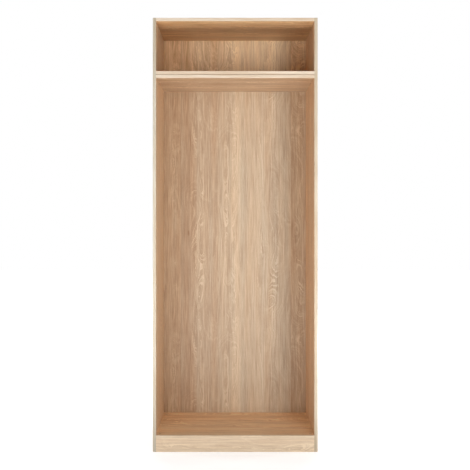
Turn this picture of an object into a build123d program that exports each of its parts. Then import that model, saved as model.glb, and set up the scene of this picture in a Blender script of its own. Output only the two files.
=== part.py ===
"""Two-part wardrobe carcass in oak-faced chipboard, open at the front.

A tall base unit on a flush plinth carries a low top box. Each unit is a box of 18 mm boards round a
thin back that sits in grooves, held together by cam fittings and dowels. Four levelling feet stand
behind the plinth. Lengths are in millimetres. The origin is on the floor, under the middle of the
carcass: X runs to the right, Y to the rear and Z up, and the open front faces -Y.
"""
import os
from math import atan, degrees

from build123d import *

# --- Carcass ---------------------------------------------------------------------------------
carcass_width = 900.0
carcass_depth = 580.0
base_height = 2060.0
top_box_height = 310.0
board = 18.0  # thickness of every structural board
plinth_height = 90.0  # floor to the top of the bottom panel
module_setback = 1.0  # each panel at the joint of the two units stops this short of its side ends

# --- Plastic edging on the front edges ---------------------------------------------------------
edging = 1.0
edging_arris = 0.7  # rounding of its two long front corners

# --- Back panels -------------------------------------------------------------------------------
back_thickness = 3.0
back_inset = 10.0  # rear edge of the boards to the rear face of the back
groove_depth = 8.0
groove_clearance = 0.2  # on each face of the back
groove_end_room = 1.0  # between the back's edge and the bottom of its groove
rear_rail_inset = 8.0  # rear rail to the front face of the back

# --- Cam fittings ------------------------------------------------------------------------------
cam_radius = 7.5
cam_height = 12.5
cam_pocket_room = 0.7  # under the cam
cam_to_end = 34.0  # cam centre to the end of its board
cam_row_inset = 100.0  # cam rows to the front and rear edges
bolt_radius = 3.0
bolt_in_side = 11.0
bolt_end_bore_radius = 4.0
cam_slot_clearance = 0.3

# --- Dowels ------------------------------------------------------------------------------------
dowel_radius = 4.0
dowel_in_side = 12.0
dowel_in_end = 18.0

# --- Fits --------------------------------------------------------------------------------------
hidden_sides = 12  # bores, pins and dowels that repeat inside the boards have this many flats
push_clearance = 0.05  # radial, on pins and dowels
seat_clearance = 0.1  # radial, on cams
blind_end_room = 0.5  # beyond the tip of a pin, bolt or screw
running_clearance = 0.05  # radial, spindle in its housing

# --- Door hinge holes --------------------------------------------------------------------------
hinge_hole_radius = 2.5
hinge_hole_depth = 12.0
hinge_hole_spacing = 32.0
hinge_line = 37.0  # front edge to the hole line
base_hinges = 3
base_hinge_end = 110.0  # first and last hinge to the panels above and below
top_box_hinges = 2
top_box_hinge_end = 60.0

# --- Screws that join the two units ------------------------------------------------------------
joining_screw_radius = 2.0
joining_screw_head_radius = 4.0
joining_screw_head_height = 2.4
joining_screw_grip = 10.0  # length in the lower board
joining_screw_side_inset = 42.0
joining_screw_edge_inset = 55.0

# --- Levelling feet ----------------------------------------------------------------------------
foot_to_side = 18.0  # spindle axis to the inner face of the side
foot_to_rail = 25.0  # spindle axis to the plinth or the rear rail
housing_height = 36.0
housing_plate = 4.0
housing_plate_width = 40.0
housing_boss_radius = 9.5
housing_web = 3.0
housing_web_pitch = 12.0
peg_radius = 5.0
peg_length = 11.0
spindle_radius = 5.0
spindle_headroom = 6.0  # top of the spindle to the bottom panel, foot fully raised
hex_key = 5.0  # across flats
hex_socket_depth = 8.0
pad_across_flats = 27.0
pad_flange = 4.0
pad_height = 12.0
pad_neck_across_flats = 16.0
pad_floor = 3.0  # under the spindle's lower end

# --- Access holes over the feet ----------------------------------------------------------------
access_hole_radius = 5.0
cap_flange_radius = 7.0
cap_flange = 1.0
cap_plug = 7.0

# --- Wall brackets -----------------------------------------------------------------------------
bracket_foot = 30.0
bracket_rise = 25.0
bracket_width = 20.0
bracket_steel = 2.0
bracket_bend = 2.0  # inside radius
bracket_to_side = 80.0  # bracket centre to the inner face of the side
slot_length = 10.0
slot_width = 5.0
slot_height = 15.0  # slot centre over the top panel
bracket_screw_radius = 2.0
bracket_screw_length = 14.0  # under the head
bracket_screw_head_radius = 4.0
bracket_screw_head_height = 2.0
bracket_screw_to_heel = 20.0
bracket_hole_clearance = 0.25

# --- Places worked out from the sizes above -----------------------------------------------------
full_height = base_height + top_box_height
half_width = carcass_width / 2
inner_half = half_width - board
front = -carcass_depth / 2
rear = carcass_depth / 2
board_front = front + edging
back_front = rear - back_inset - back_thickness
plinth_rear = front + board
rear_rail_rear = back_front - rear_rail_inset
bottom_underside = plinth_height - board
base_top_underside = base_height - module_setback - board
top_box_floor_underside = base_height + module_setback
top_box_top_underside = full_height - board
cam_rows = (front + cam_row_inset, rear - cam_row_inset)
foot_rows = (plinth_rear + foot_to_rail, rear_rail_rear - board - foot_to_rail)
joining_rows = (front + joining_screw_edge_inset, rear - joining_screw_edge_inset)
ends = (-1, 1)


def block(x, y, z):
    """Box between a low and a high value along each axis."""
    middle = Pos(sum(x) / 2, sum(y) / 2, sum(z) / 2)
    return middle * Box(x[1] - x[0], y[1] - y[0], z[1] - z[0])


def bar(start, direction, radius, length):
    """Round bar, or the cut for one, that runs from a point along a direction."""
    return extrude(Plane(origin=start, z_dir=direction) * Circle(radius), length)


def flats(radius, sides=hidden_sides):
    """Regular outline whose flats lie at the given radius."""
    return RegularPolygon(radius, sides, major_radius=False)


def pin(start, direction, radius, length):
    """Bar with flat sides, or the cut for one, for what is hidden and repeats."""
    return extrude(Plane(origin=start, z_dir=direction) * flats(radius), length)


def spread(first, last, count):
    """Evenly spaced places from the first to the last."""
    step = (last - first) / (count - 1)
    return [first + step * i for i in range(count)]


def group(pieces):
    """Several separate solids in one part."""
    return Part() + pieces


# --- Joints between a panel and the sides --------------------------------------------------------
def cam_pocket(end, row, face, facing):
    """Round pocket in a panel's face. Facing is 1 for an upper face and -1 for an underside."""
    centre = (end * (inner_half - cam_to_end), row, face)
    return pin(centre, (0, 0, -facing), cam_radius + seat_clearance, cam_height + cam_pocket_room)


def panel_joinery(underside, facing):
    """All cuts in the ends of a panel: cam pockets, bolt bores and dowel bores."""
    face = underside + board if facing > 0 else underside
    middle = underside + board / 2
    cuts = []
    for end in ends:
        for row in cam_rows:
            cuts.append(cam_pocket(end, row, face, facing))
            cuts.append(pin((end * inner_half, row, middle), (-end, 0, 0), bolt_end_bore_radius, cam_to_end))
    return cuts


def end_dowel_bores(y, z):
    """Dowel bores in both ends of a cross board."""
    depth = dowel_in_end + blind_end_room
    return [
        pin((end * inner_half, y, z), (-end, 0, 0), dowel_radius + push_clearance, depth) for end in ends
    ]


def side_joinery(underside):
    """Cuts in the left side for one panel: two bolt holes and a dowel bore."""
    middle = underside + board / 2
    depth = bolt_in_side + blind_end_room
    cuts = [
        pin((-inner_half, row, middle), (-1, 0, 0), bolt_radius + push_clearance, depth) for row in cam_rows
    ]
    return cuts + [side_dowel_bore(0, middle)]


def side_dowel_bore(y, z):
    """Dowel bore in the inner face of the left side."""
    depth = dowel_in_side + blind_end_room
    return pin((-inner_half, y, z), (-1, 0, 0), dowel_radius + push_clearance, depth)


def cam(end, row, underside, facing):
    """Cam disc, flush with its board, with a slot that the bolt's end lies in."""
    face = underside + board if facing > 0 else underside
    centre_x = end * (inner_half - cam_to_end)
    disc = pin((centre_x, row, face), (0, 0, -facing), cam_radius, cam_height)
    half_slot = bolt_radius + cam_slot_clearance
    axis_z = underside + board / 2
    closed_z = axis_z + facing * half_slot
    open_z = face - facing * cam_height
    slot_x = sorted((centre_x - end * cam_slot_clearance, end * inner_half))
    slot = block(slot_x, (row - half_slot, row + half_slot), sorted((closed_z, open_z)))
    return disc - slot


def cams(panels):
    """Cams of the given (underside, facing) panels."""
    return group([cam(end, row, *panel) for panel in panels for end in ends for row in cam_rows])


def bolts(panels):
    """Cam bolts: each runs from the side board to the centre of its cam."""
    return group([
        pin(
            (end * (inner_half + bolt_in_side), row, underside + board / 2),
            (-end, 0, 0),
            bolt_radius,
            bolt_in_side + cam_to_end,
        )
        for underside, facing in panels
        for end in ends
        for row in cam_rows
    ])


def dowel(end, y, z):
    """Dowel across the joint of a side and a cross board."""
    start = (end * (inner_half + dowel_in_side), y, z)
    return pin(start, (-end, 0, 0), dowel_radius, dowel_in_side + dowel_in_end)


# --- Boards --------------------------------------------------------------------------------------
def groove_y():
    """Front and rear wall of the groove that holds the back."""
    return (back_front - groove_clearance, back_front + back_thickness + groove_clearance)


def panel(underside, facing, groove_facing, front_y):
    """Board between the sides, with its back groove in the upper face (1) or the underside (-1)."""
    length = (-inner_half, inner_half)
    body = block(length, (front_y, rear), (underside, underside + board))
    groove_face = underside + board if groove_facing > 0 else underside
    groove_z = sorted((groove_face, groove_face - groove_facing * groove_depth))
    cuts = [block(length, groove_y(), groove_z)]
    cuts += panel_joinery(underside, facing)
    cuts += end_dowel_bores(0, underside + board / 2)
    return body - cuts


def hinge_holes(low, high, end_distance, count):
    """Pairs of hinge-plate holes in the left side, for a door over the space from low to high."""
    y = front + hinge_line
    return [
        bar((-inner_half, y, centre + offset), (-1, 0, 0), hinge_hole_radius, hinge_hole_depth)
        for centre in spread(low + end_distance, high - end_distance, count)
        for offset in (-hinge_hole_spacing / 2, hinge_hole_spacing / 2)
    ]


def side_body(low, high, groove_low, groove_high):
    """Left side of a unit with its back groove."""
    body = block((-half_width, -inner_half), (board_front, rear), (low, high))
    return body - block((-inner_half - groove_depth, -inner_half), groove_y(), (groove_low, groove_high))


def base_left_side():
    """Base side, down to the floor, bored for both panels, plinth, rear rail, feet and door hinges."""
    body = side_body(0, base_height, bottom_underside, base_height - module_setback)
    cuts = side_joinery(bottom_underside) + side_joinery(base_top_underside)
    cuts += [side_dowel_bore(y, z) for y, z in rail_dowel_places()]
    cuts += hinge_holes(plinth_height, base_top_underside, base_hinge_end, base_hinges)
    peg_depth = peg_length + blind_end_room
    cuts += [
        pin((-inner_half, row, peg_z()), (-1, 0, 0), peg_radius + push_clearance, peg_depth)
        for row in foot_rows
    ]
    return body - cuts


def top_box_left_side():
    """Top box side, bored for both panels and door hinges."""
    body = side_body(base_height, full_height, base_height + module_setback, full_height)
    cuts = side_joinery(top_box_floor_underside) + side_joinery(top_box_top_underside)
    cuts += hinge_holes(
        top_box_floor_underside + board, top_box_top_underside, top_box_hinge_end, top_box_hinges
    )
    return body - cuts


def base_bottom_panel():
    """Floor of the base, behind the plinth, with an access hole over each foot."""
    body = panel(bottom_underside, -1, 1, plinth_rear)
    holes = [
        pin((x, y, bottom_underside), (0, 0, 1), access_hole_radius, board) for x, y in foot_places()
    ]
    return body - holes


def base_top_panel():
    """Ceiling of the base, with pilot holes for the joining screws."""
    body = panel(base_top_underside, 1, -1, board_front)
    top = base_top_underside + board
    depth = joining_screw_grip + blind_end_room
    pilots = [
        pin((x, y, top), (0, 0, -1), joining_screw_radius + push_clearance, depth)
        for x, y in joining_places()
    ]
    return body - pilots


def top_box_bottom_panel():
    """Floor of the top box, countersunk for the joining screws."""
    body = panel(top_box_floor_underside, -1, 1, board_front)
    return body - [joining_screw(x, y, push_clearance) for x, y in joining_places()]


def top_box_top_panel():
    """Top of the wardrobe, with pilot holes for the wall brackets."""
    body = panel(top_box_top_underside, 1, -1, board_front)
    depth = bracket_screw_length - bracket_steel + blind_end_room
    pilots = [
        pin((x, y, full_height), (0, 0, -1), bracket_screw_radius + push_clearance, depth)
        for x, y in bracket_screw_places()
    ]
    return body - pilots


def rail_dowel_places():
    """Y and Z of the dowels in the plinth and in the rear rail."""
    return [
        (front + board / 2, plinth_height / 2),
        (rear_rail_rear - board / 2, bottom_underside / 2),
    ]


def front_plinth():
    """Plinth board, flush with the side fronts, closed on top by its edging."""
    body = block((-inner_half, inner_half), (front, plinth_rear), (0, plinth_height - edging))
    return body - end_dowel_bores(*rail_dowel_places()[0])


def rear_plinth_rail():
    """Rail that carries the rear of the bottom panel."""
    length = (-inner_half, inner_half)
    body = block(length, (rear_rail_rear - board, rear_rail_rear), (0, bottom_underside))
    return body - end_dowel_bores(*rail_dowel_places()[1])


def back_panel(low, high):
    """Thin back for the space from low to high, with its edges in the grooves."""
    reach = groove_depth - groove_end_room
    return block(
        (-inner_half - reach, inner_half + reach),
        (back_front, back_front + back_thickness),
        (low - reach, high + reach),
    )


# --- Edging --------------------------------------------------------------------------------------
def upright_edging(low, high):
    """Strip on the front edge of the left side, with rounded long corners."""
    strip = block((-half_width, -inner_half), (front, board_front), (low, high))
    return fillet(strip.edges().filter_by(Axis.Z).group_by(Axis.Y)[0], edging_arris)


def level_edging(underside):
    """Strip on the front edge of a panel, with rounded long corners."""
    strip = block((-inner_half, inner_half), (front, board_front), (underside, underside + board))
    return fillet(strip.edges().filter_by(Axis.X).group_by(Axis.Y)[0], edging_arris)


def plinth_edging():
    """Strip on the top edge of the plinth."""
    strip = block((-inner_half, inner_half), (front, plinth_rear), (plinth_height - edging, plinth_height))
    return fillet(strip.edges().filter_by(Axis.X).group_by(Axis.Z)[-1].sort_by(Axis.Y)[0], edging_arris)


# --- Screws that join the two units ----------------------------------------------------------------
def joining_places():
    """X and Y of the joining screws."""
    x = inner_half - joining_screw_side_inset
    return [(end * x, row) for end in ends for row in joining_rows]


def joining_screw(x, y, extra=0.0):
    """Countersunk screw down through the top box floor, or with extra radius the hole for it."""
    head_top = top_box_floor_underside + board
    tip = base_height - module_setback - joining_screw_grip
    head_radius = joining_screw_head_radius + extra
    taper = degrees(atan((joining_screw_head_radius - joining_screw_radius) / joining_screw_head_height))
    head = extrude(Pos(x, y, head_top) * flats(head_radius), -joining_screw_head_height, taper=taper)
    return head + pin((x, y, tip), (0, 0, 1), joining_screw_radius + extra, head_top - tip)


# --- Levelling feet --------------------------------------------------------------------------------
def foot_places():
    """X and Y of the four foot spindles."""
    return [(end * (inner_half - foot_to_side), row) for end in ends for row in foot_rows]


def peg_z():
    """Height of the peg that holds a foot housing to its side."""
    return bottom_underside - housing_height / 2


def foot_housing(row):
    """Moulded housing on the left side: a plate with a peg, and two webs that carry the boss."""
    plate_x = -inner_half + housing_plate / 2
    boss_x = -inner_half + foot_to_side
    outline = Pos(plate_x, row) * Rectangle(housing_plate, housing_plate_width)
    for offset in (-housing_web_pitch / 2, housing_web_pitch / 2):
        outline += Pos((plate_x + boss_x) / 2, row + offset) * Rectangle(boss_x - plate_x, housing_web)
    outline += Pos(boss_x, row) * flats(housing_boss_radius)
    outline -= Pos(boss_x, row) * Circle(spindle_radius + running_clearance)
    body = extrude(Pos(0, 0, bottom_underside - housing_height) * outline, housing_height)
    return body + pin((-inner_half, row, peg_z()), (-1, 0, 0), peg_radius, peg_length)


def foot_housings():
    """The four housings, in mirrored pairs."""
    left = [foot_housing(row) for row in foot_rows]
    return group(left + [mirror(housing, Plane.YZ) for housing in left])


def foot_spindle(x, y):
    """Threaded spindle, drawn plain, with a hexagon socket in its upper end."""
    top = bottom_underside - spindle_headroom
    rod = bar((x, y, pad_floor), (0, 0, 1), spindle_radius, top - pad_floor)
    return rod - extrude(Pos(x, y, top) * flats(hex_key / 2, 6), -hex_socket_depth)


def foot_pad(x, y):
    """Glide under a spindle: a hexagonal flange for a spanner, tapering to a neck with a socket."""
    outline = flats(pad_across_flats / 2, 6)
    taper_height = pad_height - pad_flange
    taper = degrees(atan((pad_across_flats - pad_neck_across_flats) / 2 / taper_height))
    pad = extrude(outline, pad_flange)
    pad += extrude(Pos(0, 0, pad_flange) * outline, taper_height, taper=taper)
    pad -= pin((0, 0, pad_floor), (0, 0, 1), spindle_radius + push_clearance, pad_height)
    return Pos(x, y, 0) * pad


def access_caps():
    """Push-in caps over the access holes: a flange on the panel and a plug in the hole."""
    caps = []
    for x, y in foot_places():
        flange = pin((x, y, plinth_height), (0, 0, 1), cap_flange_radius, cap_flange)
        plug = pin((x, y, plinth_height), (0, 0, -1), access_hole_radius - seat_clearance, cap_plug)
        caps.append(flange + plug)
    return group(caps)


# --- Wall brackets -----------------------------------------------------------------------------------
def bracket_places():
    """X of the two wall brackets."""
    x = inner_half - bracket_to_side
    return [-x, x]


def bracket_screw_places():
    """X and Y of the screws that hold the brackets to the top panel."""
    return [(x, rear - bracket_screw_to_heel) for x in bracket_places()]


def wall_bracket(x):
    """Bent steel angle: a foot on the top panel and a slotted leg in the plane of the rear edges."""
    corner = Pos(rear, full_height)
    foot = corner * Rectangle(bracket_foot, bracket_steel, align=(Align.MAX, Align.MIN))
    leg = corner * Rectangle(bracket_steel, bracket_rise, align=(Align.MAX, Align.MIN))
    section = foot + leg
    heel = section.vertices().group_by(Axis.X)[-1].sort_by(Axis.Y)[0]
    section = fillet(heel, bracket_bend + bracket_steel)
    inside = section.vertices().sort_by_distance((rear - bracket_steel, full_height + bracket_steel))[0]
    section = fillet(inside, bracket_bend)
    section_plane = Plane(origin=(x, 0, 0), x_dir=(0, 1, 0), z_dir=(1, 0, 0))
    angle = extrude(section_plane * section, bracket_width / 2, both=True)
    slot_plane = Plane(origin=(x, rear, full_height + slot_height), x_dir=(1, 0, 0), z_dir=(0, -1, 0))
    angle -= extrude(slot_plane * SlotOverall(slot_length, slot_width), bracket_steel)
    hole_start = (x, rear - bracket_screw_to_heel, full_height)
    return angle - pin(hole_start, (0, 0, 1), bracket_screw_radius + bracket_hole_clearance, bracket_steel)


def bracket_screw(x, y):
    """Pan-head screw through the foot of a bracket."""
    seat = full_height + bracket_steel
    head = pin((x, y, seat), (0, 0, 1), bracket_screw_head_radius, bracket_screw_head_height)
    return head + pin((x, y, seat), (0, 0, -1), bracket_screw_radius, bracket_screw_length)


# --- Assembly ------------------------------------------------------------------------------------------
def wardrobe():
    """Every sub-part by name."""
    base_panels = [(bottom_underside, -1), (base_top_underside, 1)]
    top_box_panels = [(top_box_floor_underside, -1), (top_box_top_underside, 1)]
    left_parts = {
        "base_{}_side": base_left_side(),
        "base_{}_side_edging": upright_edging(0, base_height),
        "top_box_{}_side": top_box_left_side(),
        "top_box_{}_side_edging": upright_edging(base_height, full_height),
    }
    parts = {}
    for name, left in left_parts.items():
        parts[name.format("left")] = left
        parts[name.format("right")] = mirror(left, Plane.YZ)
    parts["base_top_panel"] = base_top_panel()
    parts["base_top_panel_edging"] = level_edging(base_top_underside)
    parts["base_bottom_panel"] = base_bottom_panel()
    parts["base_back_panel"] = back_panel(plinth_height, base_top_underside)
    parts["front_plinth"] = front_plinth()
    parts["front_plinth_edging"] = plinth_edging()
    parts["rear_plinth_rail"] = rear_plinth_rail()
    parts["top_box_top_panel"] = top_box_top_panel()
    parts["top_box_top_panel_edging"] = level_edging(top_box_top_underside)
    parts["top_box_bottom_panel"] = top_box_bottom_panel()
    parts["top_box_bottom_panel_edging"] = level_edging(top_box_floor_underside)
    parts["top_box_back_panel"] = back_panel(top_box_floor_underside + board, top_box_top_underside)
    for unit, panels in (("base", base_panels), ("top_box", top_box_panels)):
        parts[f"{unit}_cam_locks"] = cams(panels)
        parts[f"{unit}_cam_bolts"] = bolts(panels)
        parts[f"{unit}_corner_dowels"] = group([
            dowel(end, 0, underside + board / 2) for underside, facing in panels for end in ends
        ])
    parts["plinth_dowels"] = group([dowel(end, y, z) for y, z in rail_dowel_places() for end in ends])
    parts["unit_joining_screws"] = group([joining_screw(x, y) for x, y in joining_places()])
    parts["levelling_foot_housings"] = foot_housings()
    for (x, y), corner in zip(foot_places(), ("front_left", "rear_left", "front_right", "rear_right")):
        parts[f"{corner}_foot_spindle"] = foot_spindle(x, y)
        parts[f"{corner}_foot_pad"] = foot_pad(x, y)
    parts["access_hole_caps"] = access_caps()
    parts["wall_brackets"] = group([wall_bracket(x) for x in bracket_places()])
    parts["wall_bracket_screws"] = group([bracket_screw(x, y) for x, y in bracket_screw_places()])
    return parts


os.makedirs("parts", exist_ok=True)
for name, part in wardrobe().items():
    export_step(part, f"parts/{name}.step")
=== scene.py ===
import math

import bmesh
import bpy
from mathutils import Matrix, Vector


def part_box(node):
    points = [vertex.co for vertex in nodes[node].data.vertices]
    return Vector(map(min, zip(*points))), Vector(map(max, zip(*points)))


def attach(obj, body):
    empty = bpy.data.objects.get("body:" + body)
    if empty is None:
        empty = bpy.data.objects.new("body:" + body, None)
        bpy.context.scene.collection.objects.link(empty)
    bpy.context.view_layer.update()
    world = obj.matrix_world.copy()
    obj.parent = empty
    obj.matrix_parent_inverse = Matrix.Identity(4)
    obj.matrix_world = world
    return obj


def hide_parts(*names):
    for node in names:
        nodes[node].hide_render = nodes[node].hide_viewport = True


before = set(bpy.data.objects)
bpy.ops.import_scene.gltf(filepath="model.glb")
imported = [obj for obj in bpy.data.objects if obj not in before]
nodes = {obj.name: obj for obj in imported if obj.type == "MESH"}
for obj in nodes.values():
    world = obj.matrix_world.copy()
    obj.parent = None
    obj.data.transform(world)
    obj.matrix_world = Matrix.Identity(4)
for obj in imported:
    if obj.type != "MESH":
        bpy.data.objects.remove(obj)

bpy.ops.object.select_all(action="DESELECT")
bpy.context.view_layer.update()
inner_half = 0.432  # middle of the wardrobe to the inner face of a side

# --- Finishes: short ways to join shader nodes ---------------------------------------------------


def feed(tree, socket, value):
    """Gives a socket a value, or the output of another node."""
    if isinstance(value, bpy.types.NodeSocket):
        tree.links.new(value, socket)
    else:
        socket.default_value = value


def calc(tree, operation, *values, clamp=False):
    """Math node."""
    node = tree.nodes.new("ShaderNodeMath")
    node.operation = operation
    node.use_clamp = clamp
    for socket, value in zip(node.inputs, values):
        feed(tree, socket, value)
    return node.outputs[0]


def times(tree, first, second):
    """Product of two values."""
    return calc(tree, "MULTIPLY", first, second)


def total(tree, *values, clamp=False):
    """Sum of several values. With clamp it is held between 0 and 1."""
    result = values[0]
    for value in values[1:-1]:
        result = calc(tree, "ADD", result, value)
    return calc(tree, "ADD", result, values[-1], clamp=clamp)


def between(tree, value, low, high, to_low=0.0, to_high=1.0, smooth=False):
    """Value carried from one range to another and held inside it."""
    node = tree.nodes.new("ShaderNodeMapRange")
    node.interpolation_type = "SMOOTHSTEP" if smooth else "LINEAR"
    for socket, part in zip(node.inputs, (value, low, high, to_low, to_high)):
        feed(tree, socket, part)
    return node.outputs[0]


def swing(tree, value, reach):
    """Noise round its middle, as a number that swings to either side of nought."""
    return times(tree, calc(tree, "SUBTRACT", value, 0.5), 2 * reach)


def mixed(tree, amount, first, second, kind="MIX"):
    """Two colours mixed by an amount."""
    node = tree.nodes.new("ShaderNodeMix")
    node.data_type = "RGBA"
    node.blend_type = kind
    feed(tree, node.inputs[0], amount)
    colour_in = [socket for socket in node.inputs if socket.type == "RGBA"]
    for socket, colour in zip(colour_in, (first, second)):
        feed(tree, socket, (*colour, 1.0) if isinstance(colour, tuple) else colour)
    return next(socket for socket in node.outputs if socket.type == "RGBA")


def tinted(tree, colour, tint):
    """Colour multiplied by a tint."""
    return mixed(tree, 1.0, colour, tint, "MULTIPLY")


def spot(tree, x, y, z):
    """Three numbers as one place."""
    node = tree.nodes.new("ShaderNodeCombineXYZ")
    for socket, value in zip(node.inputs, (x, y, z)):
        feed(tree, socket, value)
    return node.outputs[0]


def parts_of(tree, vector):
    """X, Y and Z of a vector, by name."""
    node = tree.nodes.new("ShaderNodeSeparateXYZ")
    feed(tree, node.inputs[0], vector)
    return dict(zip("XYZ", node.outputs))


def vector_calc(tree, operation, *values):
    """Vector math node."""
    node = tree.nodes.new("ShaderNodeVectorMath")
    node.operation = operation
    for socket, value in zip(node.inputs, values):
        feed(tree, socket, value)
    return node.outputs["Value" if operation == "LENGTH" else "Vector"]


def scaled(tree, place, factors):
    """Place multiplied along each axis."""
    return vector_calc(tree, "MULTIPLY", place, factors)


def noise(tree, place, scale=1.0, detail=2.0, rough=0.5, turn=0.0, w=None):
    """Noise from 0 to 1. With w, which picks one pattern of many, it is four-dimensional."""
    node = tree.nodes.new("ShaderNodeTexNoise")
    node.noise_dimensions = "3D" if w is None else "4D"
    feed(tree, node.inputs["Vector"], place)
    if w is not None:
        feed(tree, node.inputs["W"], w)
    for label, value in (("Scale", scale), ("Detail", detail), ("Roughness", rough),
                         ("Distortion", turn)):
        node.inputs[label].default_value = value
    return node.outputs[0]


def cells(tree, place, scale):
    """Distance and Color of the cells round scattered points."""
    node = tree.nodes.new("ShaderNodeTexVoronoi")
    feed(tree, node.inputs["Vector"], place)
    node.inputs["Scale"].default_value = scale
    return node.outputs


def shades(tree, value, stops, interpolation="LINEAR"):
    """Colour ramp."""
    node = tree.nodes.new("ShaderNodeValToRGB")
    node.color_ramp.interpolation = interpolation
    elements = node.color_ramp.elements
    while len(elements) > 1:
        elements.remove(elements[-1])
    for i, (position, colour) in enumerate(stops):
        element = elements[0] if i == 0 else elements.new(position)
        element.position = position
        element.color = (*colour, 1.0)
    feed(tree, node.inputs[0], value)
    return node.outputs[0]


def stave_values(tree, sheet, stops):
    """Three values that change abruptly from stave to stave."""
    node = tree.nodes.new("ShaderNodeSeparateColor")
    tree.links.new(shades(tree, sheet, stops, "CONSTANT"), node.inputs[0])
    return node.outputs[:3]


def finish_group(name, inputs):
    """Empty node group with number inputs that gives a finish: colour, roughness and height."""
    tree = bpy.data.node_groups.new(name, "ShaderNodeTree")
    for label in inputs:
        tree.interface.new_socket(label, in_out="INPUT", socket_type="NodeSocketFloat")
    for label, kind in (("Colour", "Color"), ("Roughness", "Float"), ("Height", "Float")):
        tree.interface.new_socket(label, in_out="OUTPUT", socket_type="NodeSocket" + kind)
    given, made = tree.nodes.new("NodeGroupInput"), tree.nodes.new("NodeGroupOutput")
    return tree, given.outputs[:len(inputs)], made


def give(tree, made, *finish):
    """Joins colour, roughness and height to the output of a group."""
    for value, socket in zip(finish, made.inputs):
        tree.links.new(value, socket)
    return tree


# --- Printed oak ---------------------------------------------------------------------------------
repeat_length = 1.273  # the sheet repeats along its grain
ring_scale = 0.02  # ring pitch where the table says 1
plain_darkness = 0.46  # of a print whose staves are evened out, if nothing else is said

# Each stave's own number picks its patterns. These seeds are added to it, or used as they are.
number_scale = 40.0
seed_of_depth, seed_of_lean = 7.0, 13.0
seed_of_patches, seed_of_threads, seed_of_pores, seed_of_blush = 3.0, 5.0, 9.0, 21.0

# Shape of the growth rings, in metres where it isn't a share.
face_waver = 0.04  # of the sawn face to either side of the heart
heart_depth, depth_swing = 0.22, 1.15  # shares of how far the heart wanders
ring_lean = 3.2  # share by which rings lean over towards one side
ring_ripple = 0.008
heart_core, heart_edge = 0.004, 0.042  # light lines fade between these distances from the heart
light_line_faint = 0.16
dark_line_far, dark_line_near = 0.50, 0.95  # strength of the dark lines far from it and near it

# How much each layer darkens the print.
light_line_strength = 0.78
band_strength, streak_strength, thread_strength = 0.15, 0.44, 0.58
pore_strength, knot_strength = 0.18, 0.30
even_grain = 0.76  # share of the grain that an evened-out print keeps
blush_strength = 0.6  # how far pinkness strays within a stave

# Staves of the printed sheet from one side to the other: width, darkness, pinkness (against
# greyness), where the heart of its growth rings lies from its first edge, the ring pitch, and how
# far the heart wanders.
staves = (
    (0.101, 0.54, 0.92, 0.060, 0.17, 0.10),
    (0.097, 0.59, 0.72, 0.084, 0.17, 0.17),
    (0.127, 0.50, 0.48, 0.020, 0.17, 0.15),
    (0.085, 0.46, 0.47, 0.062, 0.17, 0.13),
    (0.055, 0.31, 0.47, 0.030, 0.17, 0.14),
    (0.170, 0.36, 0.42, 0.120, 0.17, 0.07),
    (0.055, 0.49, 0.26, 0.034, 0.18, 0.19),
    (0.080, 0.38, 0.28, -0.021, 0.18, 0.19),
    (0.096, 0.53, 0.72, 0.056, 0.17, 0.13),
    (0.134, 0.50, 0.85, 0.090, 0.17, 0.13),
)
sheet_width = sum(stave[0] for stave in staves)

oak_light = (0.860, 0.672, 0.470)
oak_dark = (0.330, 0.160, 0.066)
oak_pink = (1.050, 0.970, 0.880)
oak_grey = (0.930, 1.000, 1.060)


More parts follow.
